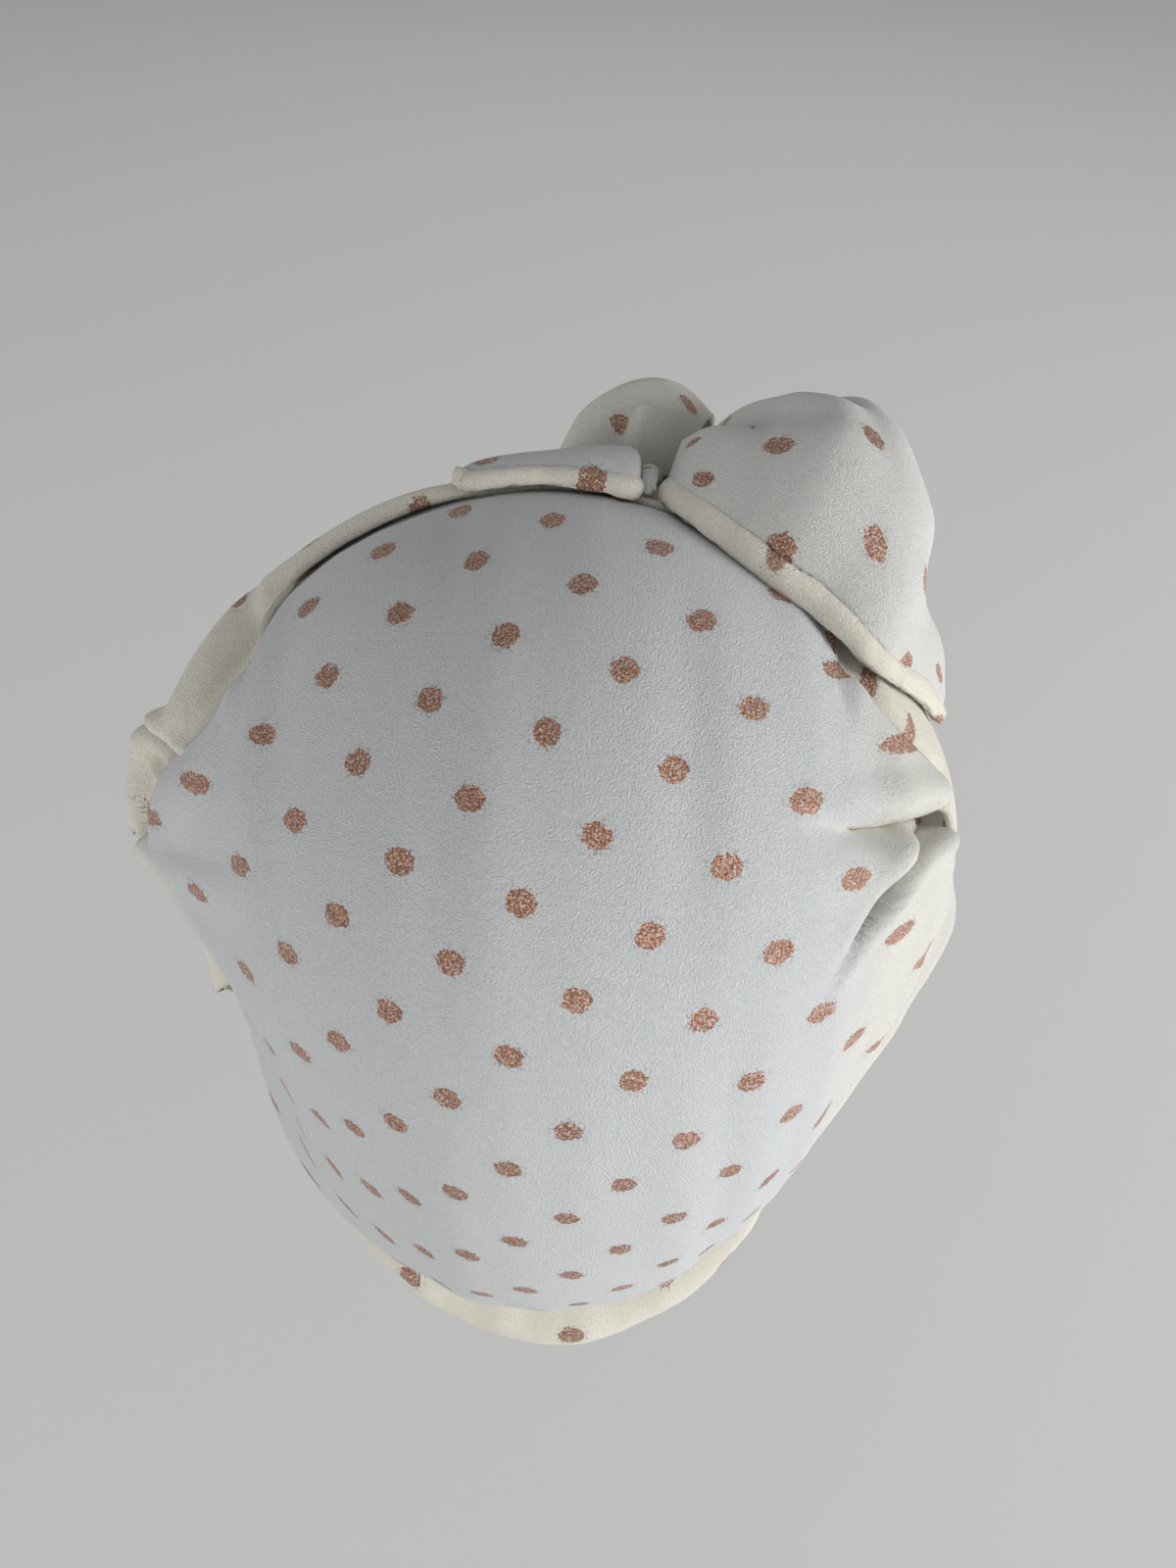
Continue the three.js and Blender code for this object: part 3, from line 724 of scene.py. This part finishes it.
# The distance from the nearest dot's middle, over the cloth
def fromDot(tree, settings):
    cloth = addNode(tree, "ShaderNodeUVMap", {"uv_map": "cloth"}).outputs["UV"]
    parts = addNode(tree, "ShaderNodeSeparateXYZ", feeds={0: cloth}).outputs
    off = []
    for part in ("X", "Y"):
        nearest = addNode(tree, "ShaderNodeMath", {"operation": "ROUND"}, {0: parts[part]})
        feeds = {0: parts[part], 1: nearest.outputs[0]}
        off.append(addNode(tree, "ShaderNodeMath", {"operation": "SUBTRACT"}, feeds).outputs[0])
    squares = []
    for axis, narrow in ((0, settings["narrow"]), (1, 1.0)):
        feeds = {0: off[1], 1: dots["nextRow"][axis]}
        fromRow = addNode(tree, "ShaderNodeMath", {"operation": "MULTIPLY"}, feeds)
        feeds = {0: off[0], 1: dots["rowStep"][axis], 2: fromRow.outputs[0]}
        place = addNode(tree, "ShaderNodeMath", {"operation": "MULTIPLY_ADD"}, feeds)
        feeds = {0: place.outputs[0], 1: narrow}
        place = addNode(tree, "ShaderNodeMath", {"operation": "MULTIPLY"}, feeds)
        feeds = {0: place.outputs[0], 1: place.outputs[0]}
        squares.append(addNode(tree, "ShaderNodeMath", {"operation": "MULTIPLY"}, feeds).outputs[0])
    both = addNode(tree, "ShaderNodeMath", {"operation": "ADD"}, dict(enumerate(squares)))
    return addNode(tree, "ShaderNodeMath", {"operation": "SQRT"}, {0: both.outputs[0]}).outputs[0]


# Where the foil lies, and where its loose flecks lie
def foilCover(tree, here, settings):
    distance = fromDot(tree, settings)
    feeds = {"Vector": here, "Scale": 1 / (settings["jagSize"] * mm), "Detail": 3.0}
    ragged = addNode(tree, "ShaderNodeTexNoise", feeds=feeds).outputs[0]
    shift = addNode(tree, "ShaderNodeMath", {"operation": "SUBTRACT"}, {0: ragged, 1: 0.5})
    feeds = {0: shift.outputs[0], 1: settings["jag"], 2: distance}
    edge = addNode(tree, "ShaderNodeMath", {"operation": "MULTIPLY_ADD"}, feeds).outputs[0]
    radius, soft = dots["radius"], settings["edge"]
    feeds = {"Value": edge, "From Min": radius + soft, "From Max": radius - soft}
    smooth = {"interpolation_type": "SMOOTHSTEP"}
    inside = addNode(tree, "ShaderNodeMapRange", smooth, feeds).outputs[0]
    feeds = {"Vector": here, "Scale": 1 / (settings["gap"] * mm), "Detail": 2.0}
    gaps = addNode(tree, "ShaderNodeTexNoise", feeds=feeds).outputs[0]
    feeds = {"Value": gaps, "From Min": settings["gapsTo"][0], "From Max": settings["gapsTo"][1]}
    whole = addNode(tree, "ShaderNodeMapRange", feeds=feeds).outputs[0]
    cover = addNode(tree, "ShaderNodeMath", {"operation": "MULTIPLY"}, {0: inside, 1: whole})
    farthest, nearest = radius + settings["flecksFrom"], radius + settings["flecksTo"]
    feeds = {"Value": distance, "From Min": farthest, "From Max": nearest}
    ring = addNode(tree, "ShaderNodeMapRange", smooth, feeds).outputs[0]
    feeds = {"Vector": here, "Scale": 1 / (settings["fleckSize"] * mm), "Detail": 1.0}
    loose = addNode(tree, "ShaderNodeTexNoise", feeds=feeds).outputs[0]
    feeds = {0: loose, 1: settings["fleckOver"]}
    loose = addNode(tree, "ShaderNodeMath", {"operation": "GREATER_THAN"}, feeds).outputs[0]
    flecks = addNode(tree, "ShaderNodeMath", {"operation": "MULTIPLY"}, {0: ring, 1: loose})
    return cover.outputs[0], flecks.outputs[0]


# The foil's colour, painted in dark facets for unlit foil and bright facets for glints
def foilColour(tree, here, settings):
    feeds = {"Vector": here, "Scale": 1 / (settings["facet"] * mm), "Detail": 2.0}
    facets = addNode(tree, "ShaderNodeTexNoise", feeds=feeds).outputs[0]
    low, high = settings["glintFrom"]
    feeds = {"Value": facets, "From Min": low, "From Max": high}
    foilGlint = addNode(tree, "ShaderNodeMapRange", feeds=feeds).outputs[0]
    feeds = {0: foilGlint, 6: linear(settings["foilUnlit"]), 7: linear(settings["foilGlint"])}
    return addNode(tree, "ShaderNodeMix", {"data_type": "RGBA"}, feeds).outputs[2]


# The cloth's colour, mixed towards cream as painted warm light, with painted shade in the grain's
# pits, and the height of its grain
def clothColour(tree, here, settings):
    # painted warm light, read from the cloth's mesh
    warmLight = addNode(tree, "ShaderNodeAttribute", {"attribute_name": "warmLight"}).outputs["Fac"]
    feeds = {0: warmLight, 6: linear(settings["cloth"]), 7: linear(settings["warmLight"])}
    tone = addNode(tree, "ShaderNodeMix", {"data_type": "RGBA"}, feeds).outputs[2]
    scale = 1 / (settings["grain"] * mm)
    feeds = {"Vector": here, "Scale": scale, "Detail": 2.0, "Roughness": 0.6}
    grain = addNode(tree, "ShaderNodeTexNoise", feeds=feeds).outputs[0]
    low, high = settings["pitShadeFrom"]
    feeds = {"Value": grain, "From Min": low, "From Max": high}
    raised = addNode(tree, "ShaderNodeMapRange", feeds=feeds).outputs[0]
    feeds = {0: raised, 1: -settings["pitShadeShow"], 2: settings["pitShadeShow"]}
    pitShade = addNode(tree, "ShaderNodeMath", {"operation": "MULTIPLY_ADD"}, feeds).outputs[0]
    feeds = {0: pitShade, 6: tone, 7: linear(settings["pitShade"])}
    darken = {"data_type": "RGBA", "blend_type": "MULTIPLY"}
    return addNode(tree, "ShaderNodeMix", darken, feeds).outputs[2], grain


def makeCrepe(name, settings, dotFoil):
    material = bpy.data.materials.new(name)
    material.use_nodes = True
    tree = material.node_tree
    tree.nodes.clear()
    here = addNode(tree, "ShaderNodeTexCoord").outputs["Object"]
    cover, flecks = foilCover(tree, here, dotFoil)
    tone, grain = clothColour(tree, here, settings)
    feeds = {0: flecks, 1: dotFoil["flecksShow"]}
    shown = addNode(tree, "ShaderNodeMath", {"operation": "MULTIPLY"}, feeds).outputs[0]
    feeds = {0: shown, 6: tone, 7: linear(dotFoil["fleck"])}
    flecked = addNode(tree, "ShaderNodeMix", {"data_type": "RGBA"}, feeds).outputs[2]
    feeds = {0: cover, 6: flecked, 7: foilColour(tree, here, dotFoil)}
    colour = addNode(tree, "ShaderNodeMix", {"data_type": "RGBA"}, feeds).outputs[2]
    feeds = {0: cover, 1: dotFoil["metallic"]}
    metallic = addNode(tree, "ShaderNodeMath", {"operation": "MULTIPLY"}, feeds).outputs[0]
    feeds = {0: cover, 1: -dotFoil["smoother"], 2: settings["roughness"]}
    roughness = addNode(tree, "ShaderNodeMath", {"operation": "MULTIPLY_ADD"}, feeds).outputs[0]
    strength, depth = settings["grainStrength"], settings["grainDepth"] * mm
    feeds = {"Height": grain, "Strength": strength, "Distance": depth}
    bump = addNode(tree, "ShaderNodeBump", feeds=feeds).outputs[0]
    feeds = {
        "Base Color": colour,
        "Metallic": metallic,
        "Roughness": roughness,
        "Normal": bump,
        "Sheen Weight": settings["sheen"],
        "Sheen Roughness": settings["sheenRoughness"],
    }
    surface = addNode(tree, "ShaderNodeBsdfPrincipled", feeds=feeds).outputs[0]
    addNode(tree, "ShaderNodeOutputMaterial", feeds={"Surface": surface})
    return material


crepeMaterial = makeCrepe("polyester crepe with foil dots", crepe, foil)
print("crepe ready")


def gridShares(first, second):
    return np.meshgrid(np.linspace(0, 1, first + 1), np.linspace(0, 1, second + 1), indexing="ij")


# Crown
s, t = gridShares(crown["across"], crown["around"])
side = 2 * s - 1
across = crown["reach"] * side * (1 + crown["crowding"] - crown["crowding"] * side**2)
rowEnd = curveThrough(crown["rows"], np.abs(across))
toFront = ease(crown["rowsFollow"], 1, t)
angle = mix(form["napeAngle"], rowEnd, t) + (crownFront(across) - rowEnd) * toFront
crownPiece = makeCloth(
    "crown_cloth",
    crownPoint(angle, across),
    crownClothPlace(crownDirection(angle, across)),
    # painted warm light on ridges, in fold mouths and on the right side
    crownWarmLight(angle, across),
    crown["wall"],
    crepeMaterial,
)
dress(crownPiece, "crown")

# Front band
s, t = gridShares(band["along"], band["up"])
points = bandPoint(s, t ** band["crowdToRear"])
smoothBand = unit(points) * form["headRadius"]
alongBand, upBand = fromEdge(smoothBand), fromEdge(np.swapaxes(smoothBand, 0, 1)).T
aside = ease(*band["asideFrom"], np.abs(anglesOf(unit(points))[0]))
bandPiece = makeCloth(
    "front_band_cloth",
    points,
    inDots(alongBand - alongBand[band["along"] // 2], upBand),
    # painted warm light on the roll along the rear edge
    1 - ease(*band["warmLit"], pastRear(unit(points)) - band["warmLitAside"] * aside),
    band["wall"],
    crepeMaterial,
)
dress(bandPiece, "front_band")

# Nape band, a casing puffed out by its elastic. The left half of its hem and the puffing are
# shares of the head radius. Above the join it lies under the crown.
nape = {
    "wall": 2.2,
    "hem": [
        (0, 0.7, -1.33), (0.28, 0.645, -1.25), (0.5, 0.53, -1.02), (0.66, 0.4, -0.79),
        (0.77, 0.28, -0.61), (0.81, 0.22, -0.5),
    ],
    "overlap": 3,
    "overlapFrom": 0.4,
    "topReach": 63,
    "gapsUnder": 6,
    "join": 0.7,
    "puff": 0.07,
    # millimetres, and puckers along the band and up it
    "pucker": 1.1,
    "puckers": (38, 1.5),
    "puckerSeed": 12,
    "along": 260,
    "up": 40,
    # millimetres of cloth along and up, for the dots
    "cloth": (260, 34),
    "flat": (0.24, 0.03),
}
hemCurve = edgeCurve(mirrored(np.array(nape["hem"]) * form["headRadius"]))
s, t = gridShares(nape["along"], nape["up"])
hem = curveAt(hemCurve, s)
inside = np.maximum(t - nape["join"], 0) / (1 - nape["join"])
topAngle = form["napeAngle"] + nape["overlap"] * (inside - nape["overlapFrom"])
topWay = crownDirection(topAngle, mix(-nape["topReach"], nape["topReach"], s))
underCrown = crown["wall"] + nape["gapsUnder"] * form["restGap"]
top = formPoint(topWay, -underCrown * np.ones_like(s))
below = np.minimum(t / nape["join"], 1)
out = unit(hem * np.array([1, 1, 0]))
arch = np.sin(math.pi * below)
puffing = nape["puff"] * form["headRadius"] * arch * np.sin(math.pi * s) ** 2
alongPuckers, upPuckers = nape["puckers"]
uneven = unevenness(s * alongPuckers, t * upPuckers + 4, nape["puckerSeed"])
puckers = nape["pucker"] * uneven * arch
napePiece = makeCloth(
    "nape_band_cloth",
    mix(hem, top, below[..., None]) + out * (puffing + puckers)[..., None],
    inDots(s * nape["cloth"][0], t * nape["cloth"][1]),
    # painted warm light all over the nape band, as lit from below
    1,
    nape["wall"],
    crepeMaterial,
)
dress(napePiece, "nape_band")

# The bow's pieces. Sections: share along the bow, then (across, angle) of the rear foot,
# (across, angle, height) of the top, and (across, angle) of the front foot. Folds: start, middle
# and end as (across, angle), side of the ridge, height, depth, width, lean. Cloth and the place
# of its corner are millimetres, along and over.
puff = {
    "sections": [
        (0, (-15.4, 104.5), (-16.7, 113, 0.12), (-17.8, 122)),
        (0.12, (-17.2, 100), (-19.8, 115, 0.19), (-22, 133)),
        (0.26, (-22.5, 95.5), (-25, 119, 0.275), (-28, 150)),
        (0.32, (-25, 93.6), (-27.3, 119, 0.325), (-30.5, 155)),
        (0.4, (-29, 91), (-31.5, 118, 0.385), (-35, 157)),
        (0.5, (-34.5, 88.2), (-36.5, 117, 0.37), (-41, 157)),
        (0.64, (-42, 83), (-44, 114, 0.275), (-48, 153)),
        (0.78, (-48.5, 83.5), (-50.5, 114, 0.16), (-55, 148)),
        (0.9, (-55, 87.5), (-57, 114, 0.115), (-60, 142)),
        (1, (-62, 92), (-62, 114, 0.07), (-64, 136)),
    ],
    "folds": [
        ((-17, 121), (-24, 112), (-31, 104), 1, 0.015, 0.055, 0.05, 0),
        ((-30, 121), (-33, 108), (-38, 97), 1, 0.01, 0.02, 0.06, 0),
        ((-24, 128), (-29, 119), (-37, 113), 1, 0.015, 0.045, 0.045, 0),
        ((-52, 112), (-46, 104), (-42, 94), -1, 0.01, 0.02, 0.06, 0),
    ],
    "fullness": 0.8,
    "hem": 4.8,
    # painted warm light: on the hem up to these shares of its width, and this much elsewhere
    "warmLitTo": (0.85, 1.15),
    "warmLit": 0.3,
    "over": 200,
    "along": 220,
    "cloth": (110, 120),
    "flat": (0.13, 0.12),
}
over, share = gridShares(puff["over"], puff["along"])
points, inHem = hemmed(bowPoint(puff, share, over), puff["hem"])
puffPiece = makeCloth(
    "bow_puff_cloth",
    points,
    inDots(share * puff["cloth"][0], over * puff["cloth"][1]),
    # painted warm light on the hem, and a little over the rest
    np.maximum(1 - ease(*puff["warmLitTo"], inHem), puff["warmLit"]),
    bowWall,
    crepeMaterial,
)
dress(puffPiece, "bow_puff")

loop = {
    "sections": [
        (0, (-16.5, 123), (-19.5, 131, 0.25), (-21.5, 145)),
        (0.3, (-12.5, 119), (-14.5, 128, 0.28), (-16, 149)),
        (0.6, (-8, 117.4), (-9, 128, 0.25), (-10.5, 149)),
        (0.85, (-4, 117), (-4.5, 127, 0.17), (-6, 146)),
        (1, (-2, 118), (-2.2, 125, 0.08), (-3, 140)),
    ],
    "folds": [
        ((-9, 118), (-11.5, 121), (-14, 117), -1, 0.012, 0.022, 0.024, 0),
    ],
    "fullness": 0.6,
    # painted warm light over the whole loop
    "warmLit": 0.6,
    "over": 110,
    "along": 90,
    "cloth": (40, 90),
    "flat": (0.05, 0.075),
}
over, share = gridShares(loop["over"], loop["along"])
loopPiece = makeCloth(
    "bow_loop_cloth",
    bowPoint(loop, share, over)[:, ::-1],
    inDots(share * loop["cloth"][0], over * loop["cloth"][1]),
    # painted warm light over the whole loop
    loop["warmLit"],
    bowWall,
    crepeMaterial,
)
dress(loopPiece, "bow_loop")

knot = {
    "sections": [
        (0, (-13.3, 104.5), (-13.5, 109.5, 0.045), (-13.7, 114)),
        (0.5, (-12.7, 104.2), (-12.9, 109.5, 0.05), (-13.1, 114)),
        (1, (-12.1, 104.5), (-12.3, 109.5, 0.045), (-12.5, 114)),
    ],
    "folds": [],
    "fullness": 0.7,
    # a little painted warm light over the knot
    "warmLit": 0.2,
    "over": 110,
    "along": 90,
    "cloth": (10, 90),
    "clothFrom": 5,
    "flat": (0.01, 0.0135),
}
over, share = gridShares(knot["over"], knot["along"])
knotPiece = makeCloth(
    "knot_cloth",
    bowPoint(knot, share, over)[:, ::-1],
    inDots(share * knot["cloth"][0] + knot["clothFrom"], over * knot["cloth"][1]),
    # a little painted warm light over the knot
    knot["warmLit"],
    bowWall,
    crepeMaterial,
)
dress(knotPiece, "knot")

tail = {
    "sections": [
        (0, (-10.7, 104), (-10.7, 108.5, 0.055), (-10.7, 113)),
        (0.08, (-10, 102.8), (-10, 108.5, 0.08), (-10, 113.8)),
        (0.5, (0, 104.3), (0, 109.5, 0.055), (0, 113.5)),
        (0.9, (9, 104.5), (9, 108.5, 0.045), (9, 112)),
        (1, (11.5, 106), (11.5, 108, 0.03), (11.5, 110)),
    ],
    "folds": [],
    "fullness": 0.5,
    "hem": 2.8,
    # painted warm light on the hem, up to these shares of its width
    "warmLitTo": (0.85, 1.15),
    "over": 90,
    "along": 120,
    "cloth": (45, 20),
    "clothFrom": (9, 4),
    "flat": (0.048, 0.03),
}
over, share = gridShares(tail["over"], tail["along"])
points, inHem = hemmed(bowPoint(tail, share, over), tail["hem"])
clothAlong = share * tail["cloth"][0] + tail["clothFrom"][0]
clothOver = over * tail["cloth"][1] + tail["clothFrom"][1]
tailPiece = makeCloth(
    "bow_tail_cloth",
    points[:, ::-1],
    inDots(clothAlong, clothOver),
    # painted warm light on the hem
    (1 - ease(*tail["warmLitTo"], inHem))[:, ::-1],
    bowWall,
    crepeMaterial,
)
dress(tailPiece, "bow_tail")
print("bow made")

# A pale floor, well below, and soft light from both sides and behind, which leaves the middle of
# the back in shade. Lights: name, place and size in millimetres, power in watts.
room = {
    "floorHeight": -420,
    "floorSize": 8,
    "paint": "#fafaf9",
    "paintRoughness": 0.9,
    "lights": [
        ("right window", (-2800, 900, 0), 1500, 86),
        ("left window", (2600, 1200, 0), 1500, 28),
        ("back wall", (-500, 2900, -100), 1900, 26),
        ("front", (-200, -2600, 2300), 2000, 8),
    ],
    "sky": 0.3,
}


def makeFloor(settings):
    place = (0, 0, settings["floorHeight"] * mm)
    bpy.ops.mesh.primitive_plane_add(size=settings["floorSize"], location=place)
    floor = bpy.context.object
    floor.name = "floor"
    paint = bpy.data.materials.new("matt white paint")
    paint.use_nodes = True
    shader = paint.node_tree.nodes["Principled BSDF"]
    shader.inputs["Base Color"].default_value = linear(settings["paint"])
    shader.inputs["Roughness"].default_value = settings["paintRoughness"]
    floor.data.materials.append(paint)


def makeLights(settings):
    for name, place, size, power in settings["lights"]:
        data = bpy.data.lights.new(name, "AREA")
        data.size = size * mm
        data.energy = power
        lamp = bpy.data.objects.new(name, data)
        lamp.location = [value * mm for value in place]
        towards = -lamp.location
        lamp.rotation_euler = towards.to_track_quat("-Z", "Y").to_euler()
        bpy.context.scene.collection.objects.link(lamp)


def makeSky(settings):
    world = bpy.data.worlds.new("studio")
    world.use_nodes = True
    background = world.node_tree.nodes["Background"]
    background.inputs["Color"].default_value = (1, 1, 1, 1)
    background.inputs["Strength"].default_value = settings["sky"]
    bpy.context.scene.world = world


makeFloor(room)
makeLights(room)
makeSky(room)
bpy.context.scene.view_settings.view_transform = "Standard"
print("room lit")
